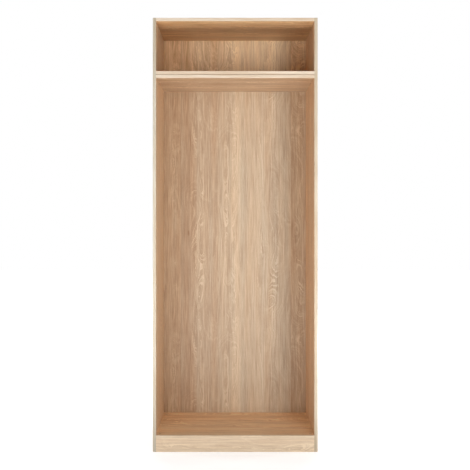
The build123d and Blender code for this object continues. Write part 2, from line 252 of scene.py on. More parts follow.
def oak_print():
    """Node group of the printed oak: staves side by side, each with its own shade and rings."""
    tree, given, made = finish_group(
        "Oak print", ("Across", "Along", "Evenness", "Even darkness", "Figure"))
    across, along, evenness, even_darkness, figure = given

    # The sheet repeats along its length, so that length is laid round a circle.
    turn = times(tree, along, 2 * math.pi / repeat_length)
    circle = repeat_length / (2 * math.pi)
    place = spot(tree, across, times(tree, calc(tree, "SINE", turn), circle),
                 times(tree, calc(tree, "COSINE", turn), circle))

    def fibres(across_scale, along_scale, detail, w, rough=0.5):
        """Noise drawn out along the grain."""
        stretched = scaled(tree, place, (across_scale, along_scale, along_scale))
        return noise(tree, stretched, detail=detail, rough=rough, w=w)

    sheet = calc(tree, "FRACT", calc(tree, "DIVIDE", across, sheet_width))
    shade_stops, ring_stops, start = [], [], 0.0
    for width, darkness, pinkness, heart, pitch, wander in staves:
        edge = start / sheet_width
        shade_stops.append((edge, (darkness, pinkness, 0.0)))
        ring_stops.append((edge, ((start + heart) / sheet_width, pitch, wander)))
        start += width
    shade, pinkness, _ = stave_values(tree, sheet, shade_stops)
    heart, pitch, wander = stave_values(tree, sheet, ring_stops)
    number = times(tree, heart, number_scale)

    # Growth rings: the saw cuts a log whose heart wanders nearer to the face and away from it.
    aside = times(tree, calc(tree, "SUBTRACT", sheet, heart), sheet_width)
    aside = total(tree, aside, swing(tree, fibres(3.0, 2.6, 2.0, number), face_waver))
    depth = fibres(0.8, 2.5, 2.0, total(tree, number, seed_of_depth), 0.36)
    depth = times(tree, total(tree, heart_depth, swing(tree, depth, depth_swing)), wander)
    radius = calc(tree, "SQRT", total(tree, calc(tree, "POWER", aside, 2.0),
                                      calc(tree, "POWER", depth, 2.0)))
    lean = fibres(0.8, 1.3, 1.0, total(tree, number, seed_of_lean))
    lean = swing(tree, lean, ring_lean)
    ripple = swing(tree, fibres(60.0, 14.0, 4.0, number, 0.62), ring_ripple)
    rings = total(tree, radius, times(tree, lean, aside), ripple)
    rings = calc(tree, "DIVIDE", rings, times(tree, pitch, ring_scale))
    ring_place = vector_calc(tree, "ADD", scaled(tree, place, (0.0, 1.6, 1.6)),
                             spot(tree, rings, 0.0, 0.0))
    growth_lines = noise(tree, ring_place, rough=0.7, w=number)
    near_heart = between(tree, calc(tree, "ABSOLUTE", aside), heart_core, heart_edge,
                         1.0, light_line_faint, smooth=True)
    light_lines = between(tree, growth_lines, 0.52, 0.62, smooth=True)
    light_lines = times(tree, light_lines, near_heart)
    dark_lines = times(tree, swing(tree, growth_lines, 1.0),
                       between(tree, near_heart, 0.0, 1.0, dark_line_far, dark_line_near))
    ring_tone = calc(tree, "SUBTRACT", dark_lines,
                     times(tree, light_lines, light_line_strength))
    patches = fibres(9.0, 2.4, 2.0, seed_of_patches)
    ring_strength = times(tree, between(tree, patches, 0.38, 0.62, 0.45, 1.1), figure)

    # Long soft bands, finer streaks and threads, and the dark dashes of open pores.
    bands = fibres(24.0, 0.7, 2.0, number)
    streaks = fibres(170.0, 5.0, 3.0, number, 0.62)
    threads = fibres(480.0, 9.0, 2.0, seed_of_threads)
    pores = between(tree, fibres(1500.0, 60.0, 1.0, seed_of_pores), 0.54, 0.64)
    pores = times(tree, pores, between(tree, growth_lines, 0.4, 0.6, 1.0, 0.4))
    grain = total(tree, swing(tree, bands, band_strength), swing(tree, streaks, streak_strength),
                  swing(tree, threads, thread_strength), times(tree, ring_tone, ring_strength),
                  times(tree, pores, pore_strength))
    grain = times(tree, grain, between(tree, evenness, 0.5, 0.9, 1.0, even_grain))

    # Pin knots, few and small.
    knots = cells(tree, scaled(tree, place, (7.0, 2.4, 2.4)), 1.0)["Distance"]
    knots = between(tree, knots, 0.02, 0.07, knot_strength, 0.0, smooth=True)

    darkness = between(tree, evenness, 0.0, 1.0, shade, even_darkness)
    tone = total(tree, darkness, grain, knots)
    tone = calc(tree, "MINIMUM", calc(tree, "MAXIMUM", tone, 0.0), 1.0)
    blush = swing(tree, fibres(24.0, 1.1, 1.0, seed_of_blush), blush_strength)
    pinkness = total(tree, between(tree, evenness, 0.0, 0.6, pinkness, 0.5), blush)
    colour = tinted(tree, mixed(tree, tone, oak_light, oak_dark),
                    mixed(tree, pinkness, oak_grey, oak_pink))
    roughness = total(tree, between(tree, streaks, 0.2, 0.8, 0.40, 0.52),
                      times(tree, pores, 0.15))
    height = calc(tree, "SUBTRACT", between(tree, threads, 0.0, 1.0, 0.0, 0.4), pores)
    return give(tree, made, colour, roughness, height)


# --- Board cores and edging ----------------------------------------------------------------------
flake_tans = ((0.0, (0.30, 0.19, 0.11)), (0.2, (0.47, 0.33, 0.20)),
              (0.6, (0.60, 0.44, 0.28)), (1.0, (0.74, 0.58, 0.40)))
flake_gap = (0.28, 0.18, 0.10)
edge_light = (0.900, 0.770, 0.600)
edge_dark = (0.700, 0.520, 0.340)


def chipboard():
    """Node group of raw chipboard: pressed flakes in several tans, with dark gaps between them."""
    tree, given, made = finish_group("Chipboard", ("X", "Y", "Z"))
    place = spot(tree, *given)
    waver = tree.nodes.new("ShaderNodeTexNoise")
    waver.inputs["Scale"].default_value = 260.0
    tree.links.new(place, waver.inputs["Vector"])
    crooked = vector_calc(tree, "MULTIPLY_ADD", waver.outputs["Color"], (0.004,) * 3, place)
    flakes = cells(tree, crooked, 380.0)
    flake_tone = parts_of(tree, flakes["Color"])["X"]
    dust = noise(tree, place, scale=2200.0)
    colour = mixed(tree, between(tree, dust, 0.55, 0.7, 0.0, 0.35),
                   shades(tree, flake_tone, flake_tans), flake_gap)
    roughness = between(tree, dust, 0.3, 0.7, 0.78, 0.95)
    height = calc(tree, "SUBTRACT", flake_tone, times(tree, flakes["Distance"], 1.2))
    return give(tree, made, colour, roughness, height)


def edge_band():
    """Node group of the pale plastic edging: fine straight grain along it and soft embossing."""
    tree, given, made = finish_group("Edge band", ("Along", "Across", "Deep"))
    place = spot(tree, *given)
    clouds = noise(tree, scaled(tree, place, (2.6, 40.0, 40.0)))
    lines = noise(tree, scaled(tree, place, (7.0, 420.0, 420.0)), detail=3.0, rough=0.6)
    dashes = noise(tree, scaled(tree, place, (70.0, 1700.0, 1700.0)), detail=1.0)
    tone = total(tree, swing(tree, clouds, 0.9), swing(tree, lines, 1.3), 0.42,
                 between(tree, dashes, 0.56, 0.66, 0.0, 0.22), clamp=True)
    colour = mixed(tree, tone, edge_light, edge_dark)
    roughness = between(tree, lines, 0.3, 0.7, 0.34, 0.46)
    height = calc(tree, "SUBTRACT", lines, between(tree, dashes, 0.56, 0.66))
    return give(tree, made, colour, roughness, height)


print_group = oak_print()
chip_group = chipboard()
edge_group = edge_band()

# --- Materials -----------------------------------------------------------------------------------
board_relief = 0.0001  # depth of each finish's relief
edging_relief = 0.00006
metal_relief = 0.00004
plastic_relief = 0.00005
beech_relief = 0.00008
outer_tint = (1.13, 1.06, 0.96)
outer_shift = 0.31  # from the inner face's place on the print to the outer face's
bare_light = (0.43, 0.27, 0.15)
bare_dark = (0.27, 0.155, 0.08)
beech_light = (0.66, 0.43, 0.25)
beech_dark = (0.44, 0.25, 0.13)


def finish_of(name):
    """New material with its tree, its shader and a bump node on it."""
    material = bpy.data.materials.new(name)
    material.use_nodes = True
    tree = material.node_tree
    shader = tree.nodes["Principled BSDF"]
    bump = tree.nodes.new("ShaderNodeBump")
    tree.links.new(bump.outputs[0], shader.inputs["Normal"])
    return material, tree, shader, bump


def object_place(tree):
    """Object coordinates."""
    return tree.nodes.new("ShaderNodeTexCoord").outputs["Object"]


def normal_part(tree, axis):
    """How far the surface looks along an axis, from -1 to 1."""
    normal = tree.nodes.new("ShaderNodeNewGeometry").outputs["True Normal"]
    return parts_of(tree, normal)[axis]


def use_group(tree, group, *values):
    """Group node fed with the given values. Gives its outputs."""
    node = tree.nodes.new("ShaderNodeGroup")
    node.node_tree = group
    for socket, value in zip(node.inputs, values):
        feed(tree, socket, value)
    return list(node.outputs)


def choose(tree, amount, first, second):
    """Colour, roughness and height of one finish or another."""
    amounts = [mixed(tree, amount, first[0], second[0])]
    for one, other in zip(first[1:], second[1:]):
        node = tree.nodes.new("ShaderNodeMix")
        for socket, value in zip(node.inputs[:1] + node.inputs[2:4], (amount, one, other)):
            feed(tree, socket, value)
        amounts.append(node.outputs[0])
    return amounts


def wear_finish(tree, shader, bump, finish, depth):
    """Joins colour, roughness and height to the shader."""
    tree.links.new(finish[0], shader.inputs["Base Color"])
    tree.links.new(finish[1], shader.inputs["Roughness"])
    tree.links.new(finish[2], bump.inputs["Height"])
    bump.inputs["Distance"].default_value = depth


def oak_board(name, face, outward, along, across_start, along_start, tint, evenness,
              darkness=plain_darkness, figure=1.0, banded=False):
    """Board with printed oak on the two faces that look along one axis, and raw cut edges.

    Outward is 1 or -1, the way that the outer face looks. The inner face has a tint of its own,
    which is painted light and shade: the same print made paler or darker board by board, after
    how light falls on that face. A banded board has edging on its upper end.
    """
    material, tree, shader, bump = finish_of(name)
    place = parts_of(tree, object_place(tree))
    across = next(axis for axis in "XYZ" if axis not in (face, along))
    normal = normal_part(tree, face)
    faced = calc(tree, "GREATER_THAN", calc(tree, "ABSOLUTE", normal), 0.5)
    outer = calc(tree, "GREATER_THAN", times(tree, normal, outward), 0.0)
    printed = use_group(
        tree, print_group,
        total(tree, place[across], across_start, times(tree, outer, outer_shift)),
        total(tree, place[along], along_start), evenness, darkness, figure)
    # The inner face's tint is painted light and shade; the outer face keeps the plain outer tint.
    printed[0] = tinted(tree, printed[0], mixed(tree, outer, tint, outer_tint))
    raw = use_group(tree, chip_group, *place.values())
    if banded:
        band = use_group(tree, edge_group, place["Y"], place["X"], place["Z"])
        up = calc(tree, "GREATER_THAN", normal_part(tree, "Z"), 0.5)
        raw = choose(tree, up, raw, band)
    wear_finish(tree, shader, bump, choose(tree, faced, raw, printed), board_relief)
    return material


def oak_back(name, along_start, tint, figure):
    """Thin hardboard with printed oak on its front and bare brown fibre behind."""
    material, tree, shader, bump = finish_of(name)
    whole = object_place(tree)
    place = parts_of(tree, whole)
    printed = use_group(tree, print_group, total(tree, place["X"], inner_half),
                        total(tree, place["Z"], along_start), 0.0, plain_darkness, figure)
    # This tint is painted light and shade: the same print made paler or darker on each back after
    # how light falls into that part of the carcass.
    printed[0] = tinted(tree, printed[0], tint)
    clouds = noise(tree, whole, scale=6.0, detail=4.0, rough=0.6)
    fibre = noise(tree, whole, scale=900.0, detail=3.0, rough=0.7)
    sanding = noise(tree, scaled(tree, whole, (700.0, 700.0, 6.0)))
    tone = total(tree, swing(tree, clouds, 0.5), swing(tree, fibre, 0.9),
                 swing(tree, sanding, 0.5), 0.5, clamp=True)
    bare = [mixed(tree, tone, bare_light, bare_dark),
            between(tree, fibre, 0.3, 0.7, 0.70, 0.88), fibre]
    front = calc(tree, "LESS_THAN", normal_part(tree, "Y"), -0.5)
    wear_finish(tree, shader, bump, choose(tree, front, bare, printed), board_relief)
    return material


def oak_edging(name, along, tint):
    """Edging with its grain along the strip."""
    material, tree, shader, bump = finish_of(name)
    place = parts_of(tree, object_place(tree))
    others = [place[axis] for axis in "XYZ" if axis != along]
    band = use_group(tree, edge_group, place[along], *others)
    # The tint is painted light and shade: the same edging made darker or paler, cooler or warmer,
    # after how the lamps fall on that edge.
    band[0] = tinted(tree, band[0], tint)
    wear_finish(tree, shader, bump, band, edging_relief)
    return material


def small_metal(name, pale, dull, smooth, rough, spangle=0.0):
    """Metal with clouded brightness, fine marks and, where asked, the crystals of hot zinc."""
    material, tree, shader, bump = finish_of(name)
    place = object_place(tree)
    clouds = noise(tree, place, scale=160.0, detail=3.0, rough=0.6)
    marks = noise(tree, scaled(tree, place, (900.0,) * 3), rough=0.6)
    tone = total(tree, swing(tree, clouds, 1.1), swing(tree, marks, 0.7), 0.45)
    if spangle:
        crystal = parts_of(tree, cells(tree, place, spangle)["Color"])["X"]
        tone = total(tree, tone, swing(tree, crystal, 0.5))
    tone = between(tree, tone, 0.0, 1.0)
    shader.inputs["Metallic"].default_value = 1.0
    finish = [mixed(tree, tone, pale, dull), between(tree, tone, 0.0, 1.0, smooth, rough), marks]
    wear_finish(tree, shader, bump, finish, metal_relief)
    return material


def moulded_plastic(name, colour, dusty):
    """Moulded plastic: spark-eroded grain, faint flow marks and scuffs."""
    material, tree, shader, bump = finish_of(name)
    place = object_place(tree)
    grain = noise(tree, place, scale=2600.0)
    flow = noise(tree, place, scale=90.0, detail=3.0, rough=0.6, turn=1.5)
    scuffs = noise(tree, scaled(tree, place, (1600.0, 130.0, 500.0)), rough=0.7)
    worn = total(tree, between(tree, flow, 0.35, 0.75, 0.0, 0.4),
                 between(tree, scuffs, 0.60, 0.72, 0.0, 0.6), clamp=True)
    finish = [mixed(tree, worn, colour, dusty), between(tree, worn, 0.0, 1.0, 0.42, 0.62), grain]
    wear_finish(tree, shader, bump, finish, plastic_relief)
    return material


def beech_wood(name):
    """Beech with its grain along X and small dark flecks."""
    material, tree, shader, bump = finish_of(name)
    place = object_place(tree)
    grain = noise(tree, scaled(tree, place, (60.0, 900.0, 900.0)), detail=3.0, rough=0.6)
    flecks = noise(tree, scaled(tree, place, (500.0, 3000.0, 3000.0)), detail=1.0)
    tone = total(tree, between(tree, grain, 0.25, 0.75),
                 between(tree, flecks, 0.58, 0.66, 0.0, 0.5), clamp=True)
    finish = [mixed(tree, tone, beech_light, beech_dark),
              between(tree, grain, 0.3, 0.7, 0.55, 0.75), grain]
    wear_finish(tree, shader, bump, finish, beech_relief)
    return material


def dress(material, *names):
    """Gives CAD nodes one material."""
    for name in names:
        nodes[name].data.materials.clear()
        nodes[name].data.materials.append(material)


def each_foot(part):
    """Nodes of one part of all four feet."""
    return [name for name in nodes if name.endswith("foot_" + part)]


# The tints given to these boards and backs are painted light and shade on their inner faces: the
# same print made paler on one and darker on another after how light falls there, the base's back
# and ceiling darker, its floor and the top box's back paler.
dress(oak_board("Oak left side", "X", -1, "Z", 0.61, 0.2, (1.11, 1.08, 1.05), 0.7, banded=True),
      "base_left_side", "top_box_left_side")
dress(oak_board("Oak right side", "X", 1, "Z", 1.21, 0.7, (1.12, 1.02, 0.93), 0.7, banded=True),
      "base_right_side", "top_box_right_side")
dress(oak_board("Oak bottom panel", "Z", -1, "X", 0.72, 0.3, (1.38, 1.34, 1.26), 0.3, figure=2.4),
      "base_bottom_panel")
dress(oak_board("Oak base top panel", "Z", 1, "X", 0.35, 0.8, (0.81, 0.76, 0.72), 0.3, figure=2.2),
      "base_top_panel")
dress(oak_board("Oak top box floor", "Z", -1, "X", 0.1, 0.6, (1.03, 0.97, 0.86), 0.4),
      "top_box_bottom_panel")
dress(oak_board("Oak top box top", "Z", 1, "X", 0.32, 0.1, (1.08, 0.95, 0.75), 0.2, figure=2.0),
      "top_box_top_panel")
# The plinth's low darkness and pale tint are painted light as well: the print made paler where the
# front lamps fall on it.
dress(oak_board("Oak plinth", "Y", 1, "X", 0.2, 0.5, (1.09, 1.12, 1.16), 0.9, darkness=0.22),
      "front_plinth", "rear_plinth_rail")
dress(oak_back("Oak base back", 0.0, (0.745, 0.75, 0.74), 1.0), "base_back_panel")
dress(oak_back("Oak top box back", 0.906, (1.18, 1.16, 1.04), 2.0), "top_box_back_panel")
# The edgings' tints are painted light and shade: the sides' front edges are made darker than the
# level edges, the left cooler and the right warmer, after how light falls on each.
dress(oak_edging("Left edging", "Z", (0.695, 0.745, 0.775)),
      "base_left_side_edging", "top_box_left_side_edging")
dress(oak_edging("Right edging", "Z", (0.70, 0.69, 0.66)),
      "base_right_side_edging", "top_box_right_side_edging")
dress(oak_edging("Level edging", "X", (0.93, 0.92, 0.94)), "base_top_panel_edging",
      "top_box_top_panel_edging", "top_box_bottom_panel_edging", "front_plinth_edging")
dress(small_metal("Die-cast zinc", (0.66, 0.66, 0.67), (0.40, 0.40, 0.42), 0.34, 0.52),
      "base_cam_locks", "top_box_cam_locks")
dress(small_metal("Zinc-plated steel", (0.78, 0.79, 0.80), (0.55, 0.56, 0.58), 0.20, 0.38),
      "base_cam_bolts", "top_box_cam_bolts", "unit_joining_screws", "wall_bracket_screws",
      *each_foot("spindle"))
dress(small_metal("Galvanised steel", (0.72, 0.73, 0.74), (0.48, 0.49, 0.51), 0.28, 0.50,
                  spangle=260.0), "wall_brackets")
dress(beech_wood("Beech"), "base_corner_dowels", "top_box_corner_dowels", "plinth_dowels")
dress(moulded_plastic("Grey plastic", (0.23, 0.235, 0.24), (0.33, 0.335, 0.34)),
      "levelling_foot_housings")
dress(moulded_plastic("Black plastic", (0.025, 0.025, 0.027), (0.09, 0.088, 0.085)),
      *each_foot("pad"))
dress(moulded_plastic("Oak plastic", (0.62, 0.45, 0.29), (0.70, 0.54, 0.38)), "access_hole_caps")

# --- Fittings: blanks, cuts and copies -----------------------------------------------------------
mm = 0.001
hair = 0.00002
smooth_below = math.radians(35.0)  # faces that meet at less are shaded as one
sharp_above = math.radians(30.0)  # edges that turn more are rounded
centre = (0.0, 0.0, 0.0)
upright = (0.0, 0.0, 0.0)  # a turn of nought
hexagon = 1.0 / math.cos(math.pi / 6)  # corner to flat
hidden_corner = 1.0 / math.cos(math.pi / 12)  # the same on the CAD model's twelve-sided pins


def pick_piece(piece):
    """Makes a piece the active object and the only one selected."""
    bpy.ops.object.select_all(action="DESELECT")
    piece.select_set(True)
    bpy.context.view_layer.objects.active = piece


def begin(piece):
    """Opens a piece in edit mode with nothing selected."""
    pick_piece(piece)
    bpy.ops.object.mode_set(mode="EDIT")
    bpy.ops.mesh.select_mode(type="FACE")
    bpy.ops.mesh.select_all(action="DESELECT")


def done():
    """Closes the open piece."""
    bpy.ops.object.mode_set(mode="OBJECT")


def pick_only(kind, wanted):
    """Selects the faces or edges of the open piece that pass a test, and nothing else."""
    bpy.ops.mesh.select_mode(type=kind)
    bpy.ops.mesh.select_all(action="DESELECT")
    mesh = bmesh.from_edit_mesh(bpy.context.edit_object.data)
    for part in mesh.faces if kind == "FACE" else mesh.edges:
        if wanted(part):
            part.select_set(True)
    bmesh.update_edit_mesh(bpy.context.edit_object.data)


def pick_faces(wanted):
    """Selects the faces whose middle and normal pass a test."""
    pick_only("FACE", lambda face: wanted(face.calc_center_median(), face.normal))


def pick_edges(wanted):
    """Selects the edges whose two ends both pass a test."""
    pick_only("EDGE", lambda edge: all(wanted(corner.co) for corner in edge.verts))


def pick_end(height, up):
    """Selects the flat end of a blank at a height, facing up (1) or down (-1)."""
    pick_faces(lambda middle, normal: normal.z * up > 0.9 and abs(middle.z - height) < hair)


def draw_out(rise, grow=1.0):
    """Extrudes the selected end along Z, and scales it about the axis."""
    bpy.ops.mesh.extrude_region_move(TRANSFORM_OT_translate={"value": (0.0, 0.0, rise)})
    if grow != 1.0:
        bpy.ops.transform.resize(value=(grow, grow, 1.0), center_override=centre)


def step_in(thickness, rise):
    """Insets the selected end, then moves it along Z."""
    bpy.ops.mesh.inset(thickness=thickness)
    bpy.ops.transform.translate(value=(0.0, 0.0, rise))


def ease_top_rim(width, segments):
    """Rounds the rim of a blank whose upper end is at nought."""
    pick_edges(lambda corner: corner.z > -hair)
    bpy.ops.mesh.bevel(offset=width, segments=segments, affect="EDGES")


def settle(piece):
    """Puts a piece's place, turn and size into its mesh."""
    pick_piece(piece)
    bpy.ops.object.transform_apply(location=True, rotation=True, scale=True)
    return piece


def round_blank(name, radius, low, high, sides=48, turn=0.0, at=(0.0, 0.0)):
    """Cylinder or prism between two heights."""
    bpy.ops.mesh.primitive_cylinder_add(
        vertices=sides, radius=radius, depth=high - low,
        location=(at[0], at[1], (low + high) / 2), rotation=(0.0, 0.0, turn))
    piece = bpy.context.active_object
    piece.name = name
    return settle(piece)


def square_blank(name, low, high):
    """Box between two corners."""
    bpy.ops.mesh.primitive_cube_add(size=1.0, location=[(a + b) / 2 for a, b in zip(low, high)],
                                    scale=[b - a for a, b in zip(low, high)])
    piece = bpy.context.active_object
    piece.name = name
    return settle(piece)


def use_modifier(piece, kind, **settings):
    """Adds a modifier with its settings and applies it."""
    pick_piece(piece)
    modifier = piece.modifiers.new(kind.title(), kind)
    for key, value in settings.items():
        setattr(modifier, key, value)
    bpy.ops.object.modifier_apply(modifier=modifier.name)


def shape_with(piece, tool, operation="DIFFERENCE"):
    """Cuts a piece with another, or joins the two into one solid. The other is used up."""
    use_modifier(piece, "BOOLEAN", operation=operation, object=tool, solver="EXACT")
    bpy.data.objects.remove(tool)


def ease_edges(piece, width, segments):
    """Rounds the sharp edges of a piece."""
    use_modifier(piece, "BEVEL", width=width, segments=segments, limit_method="ANGLE",
                 angle_limit=sharp_above, harden_normals=False, miter_outer="MITER_ARC")


def cross_tool(face, reach, breadth, depth):
    """Driver cross that goes down into a face and narrows towards its floor."""
    half = breadth / 2
    tool = square_blank("driver cross", (-half, -half, face - depth), (half, half, face + depth))
    begin(tool)
    pick_faces(lambda middle, normal: abs(normal.z) < 0.1)
    bpy.ops.mesh.extrude_faces_move(TRANSFORM_OT_shrink_fatten={"value": reach - half})
    pick_faces(lambda middle, normal: normal.z < -0.9)
    bpy.ops.transform.resize(value=(0.55, 0.55, 1.0), center_override=centre)
    done()
    return tool


def cut_flat(height, **cleared):
    """Cuts the open piece level at a height, closes it there and clears one side."""
    bpy.ops.mesh.select_all(action="SELECT")
    bpy.ops.mesh.bisect(plane_co=(0.0, 0.0, height), plane_no=(0.0, 0.0, 1.0), use_fill=True,
                        threshold=hair / 100, **cleared)


def screw_thread(name, core, crest, pitch, low, high, steps):
    """Threaded rod: one tooth swept up a helix, then cut flat and closed at both heights."""
    bpy.ops.mesh.primitive_circle_add(vertices=3, radius=1.0,
                                      rotation=(-math.pi / 2, -math.pi / 2, 0.0))
    rod = bpy.context.active_object
    rod.name = name
    settle(rod)
    rod.scale = ((crest - core) / 1.5, 1.0, pitch / math.sqrt(3.0))
    rod.location = (core + (crest - core) / 3, 0.0, low - 1.5 * pitch)
    settle(rod)
    begin(rod)
    pick_edges(lambda corner: corner.x < core + hair)
    bpy.ops.mesh.delete(type="EDGE")
    done()
    turns = math.ceil((high - low) / pitch) + 3
    use_modifier(rod, "SCREW", axis="Z", angle=2 * math.pi, screw_offset=pitch, iterations=turns,
                 steps=steps, render_steps=steps, use_merge_vertices=True,
                 merge_threshold=0.1 * hair)
    begin(rod)
    bpy.ops.mesh.select_all(action="SELECT")
    bpy.ops.mesh.remove_doubles(threshold=hair / 4)
    cut_flat(low, clear_inner=True)
    cut_flat(high, clear_outer=True)
    bpy.ops.mesh.select_all(action="SELECT")
    bpy.ops.mesh.normals_make_consistent(inside=False)
    done()
    return rod


def joined(name, pieces):
    """Several pieces as one."""
    bpy.ops.object.select_all(action="DESELECT")
    for piece in pieces:
        piece.select_set(True)
    bpy.context.view_layer.objects.active = pieces[0]
    if len(pieces) > 1:
        bpy.ops.object.join()
    pieces[0].name = pieces[0].data.name = name
    return settle(pieces[0])


def set_down(piece, place, turn=upright):
    """Turns a piece and puts it in its place."""
    piece.location, piece.rotation_euler = place, turn
    return settle(piece)


def copy_of(piece, place, turn=upright):
    """Copy with its own mesh at a place."""
    twin = piece.copy()
    twin.data = piece.data.copy()
    bpy.context.scene.collection.objects.link(twin)
    return set_down(twin, place, turn)


def set_of(name, piece, places):
    """A piece at each (place, turn), as one. The pattern piece itself isn't kept."""
    made = joined(name, [copy_of(piece, place, turn) for place, turn in places])
    bpy.data.objects.remove(piece)
    return made


def mount(piece, node, body):
    """Shades a finished piece and puts it in the stead of a CAD node, in that node's finish."""
    pick_piece(piece)
    bpy.ops.object.shade_smooth_by_angle(angle=smooth_below)
    piece.data.materials.clear()
    piece.data.materials.append(nodes[node].data.materials[0])
    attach(piece, body)
    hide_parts(node)
    bpy.ops.object.select_all(action="DESELECT")


# --- Access caps ---------------------------------------------------------------------------------
cap_radius = 7.0 * mm
cap_rim = 0.45 * mm  # thickness of the flange at its rim
cap_flange = 1.0 * mm  # thickness that the CAD model gives it
cap_dome = ((0.15, 0.22), (0.35, 0.15), (1.5, 0.12), (2.0, 0.05))  # inwards and up, from the rim
plug_radius, ring_radius, tip_radius = 4.6 * mm, 4.85 * mm, 4.1 * mm


def access_cap():
    """Push-in cap: domed flange with an eased rim, and a hollow plug with a gripping ring."""
    cap = round_blank("access cap", cap_radius, 0.0, cap_rim, sides=64)
    begin(cap)
    pick_end(cap_rim, 1)
    for thickness, rise in cap_dome:
        step_in(thickness * mm, rise * mm)
    pick_end(0.0, -1)
    bpy.ops.mesh.inset(thickness=cap_radius - plug_radius)
    for drop, grow in ((2.2, 1.0), (0.5, ring_radius / plug_radius), (0.6, 1.0),
                       (0.5, plug_radius / ring_radius), (2.6, 1.0),
                       (0.6, tip_radius / plug_radius)):
        draw_out(-drop * mm, grow)
    bpy.ops.mesh.inset(thickness=0.8 * mm)
    draw_out(5.8 * mm)
    done()
    return cap


# --- Cam locks -----------------------------------------------------------------------------------
cam_radius = 7.5 * mm
cam_height = 12.5 * mm
cam_dish = 0.25 * mm  # depth of the face inside its rim
bolt_slot = 3.3 * mm  # half its width
cam_turns = {(1, 1): upright, (-1, 1): (0.0, 0.0, math.pi),
             (1, -1): (math.pi, 0.0, 0.0), (-1, -1): (0.0, math.pi, 0.0)}


def cam_lock():
    """Cam disc, face up, with its bolt slot towards +X: eased rim, driver cross and pointer."""
    cam = round_blank("cam", cam_radius, -cam_height, 0.0, sides=64)
    begin(cam)
    ease_top_rim(0.5 * mm, segments=3)
    pick_end(0.0, 1)
    bpy.ops.mesh.inset(thickness=0.9 * mm)
    step_in(cam_dish, -cam_dish)
    done()
    shape_with(cam, square_blank("bolt slot", (-0.3 * mm, -bolt_slot, -13.0 * mm),
                                 (9.0 * mm, bolt_slot, -5.7 * mm)))
    shape_with(cam, round_blank("pointer", 1.3 * mm, -0.9 * mm, 0.5 * mm, sides=3,
                                turn=-math.pi / 2, at=(4.4 * mm, 0.0)))
    shape_with(cam, cross_tool(-cam_dish, reach=3.0 * mm, breadth=1.1 * mm, depth=3.2 * mm))
    return cam


def cam_places(node):
    """Cams at both ends of the lowest panel, facing down, and of the highest, facing up."""
    low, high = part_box(node)
    x, y = (reach - hidden_corner * cam_radius for reach in high.xy)
    return [((end * x, row * y, face), cam_turns[end, facing])
            for face, facing in ((low.z, -1), (high.z, 1)) for end in (-1, 1) for row in (-1, 1)]


# --- Screws --------------------------------------------------------------------------------------
screw_head_radius = 4.0 * mm
wood_core, wood_crest, wood_pitch = 1.35 * mm, 2.0 * mm, 1.8 * mm  # of the thread
pan_head_height = 2.0 * mm
pan_head_dome = ((0.5, 0.955), (0.4, 0.88), (0.22, 0.75), (0.08, 0.55))  # up, and how it narrows


def pointed_thread(low, high, point):
    """Coarse wood thread that ends in a point."""
    thread = screw_thread("wood thread", wood_core, wood_crest, wood_pitch, low, high, steps=20)
    begin(thread)
    pick_end(low, -1)
    draw_out(-point, 0.12)
    done()
    return thread


def joining_screw():
    """Countersunk chipboard screw with its head's face at the origin."""
    rim = 0.25 * mm
    head = round_blank("countersunk head", screw_head_radius, -rim, 0.0, sides=40)
    begin(head)
    ease_top_rim(0.1 * mm, segments=2)
    pick_end(-rim, -1)
    for drop, grow in ((2.15, 0.5), (8.6, 1.0), (0.5, 0.75)):
        draw_out(-drop * mm, grow)
    done()
    shape_with(head, cross_tool(0.0, reach=2.3 * mm, breadth=0.8 * mm, depth=1.9 * mm))
    thread = pointed_thread(low=-27.0 * mm, high=-11.3 * mm, point=3.0 * mm)
    return joined("joining screw", [head, thread])


def bracket_screw():
    """Pan-head screw with its seat at the origin."""
    rim = 0.8 * mm
    head = round_blank("pan head", screw_head_radius, 0.0, rim, sides=40)
    begin(head)
    pick_end(rim, 1)
    for rise, grow in pan_head_dome:
        draw_out(rise * mm, grow)
    pick_end(0.0, -1)
    bpy.ops.mesh.inset(thickness=2.0 * mm)
    for drop, grow in ((2.4, 1.0), (0.4, 0.75)):
        draw_out(-drop * mm, grow)
    done()
    shape_with(head, cross_tool(pan_head_height, reach=2.0 * mm, breadth=0.75 * mm,
                                depth=1.3 * mm))
    thread = pointed_thread(low=-11.6 * mm, high=-2.4 * mm, point=2.4 * mm)
    return joined("bracket screw", [head, thread])


# --- Levelling feet ------------------------------------------------------------------------------
spindle_core, spindle_crest, spindle_pitch = 4.1 * mm, 5.0 * mm, 1.5 * mm
spindle_ease = 0.8 * mm  # length of the eased ends
hex_key = 5.0 * mm  # across flats
hex_socket_depth = 8.0 * mm
pad_across_flats, pad_neck = 27.0 * mm, 16.0 * mm
pad_flange = 4.0 * mm
pad_socket_radius = 5.08 * mm
sole_edge, sole_slope, sole_recess = 2.2 * mm, 0.5 * mm, 0.7 * mm
housing_plate, housing_half_width = 4.0 * mm, 20.0 * mm
housing_web, web_offset = 3.0 * mm, 6.0 * mm
web_root = 3.0 * mm  # where a web starts inside the plate
spindle_to_side = 18.0 * mm
boss_radius, bore_radius = 9.45 * mm, 5.05 * mm
peg_radius = 5.0 * mm
peg_root = 2.0 * mm  # plain length before the ribs
peg_ribs = ((0.4, 0.9), (0.6, 1.0), (0.2, 1.0 / 0.9), (1.2, 1.0))  # outwards, and how it narrows


def threaded_spindle(low, high):
    """Spindle with a rolled thread, eased ends and a hexagon socket in its upper end."""
    low_end, high_end = low + spindle_ease, high - spindle_ease
    spindle = screw_thread("spindle", spindle_core, spindle_crest, spindle_pitch,
                           low_end, high_end, steps=32)
    begin(spindle)
    pick_end(high_end, 1)
    draw_out(spindle_ease, 0.88)
    pick_end(low_end, -1)
    draw_out(-spindle_ease, 0.88)
    done()
    shape_with(spindle, round_blank("socket", hex_key / 2 * hexagon, high - hex_socket_depth,
                                    high + mm, sides=6))
    return spindle


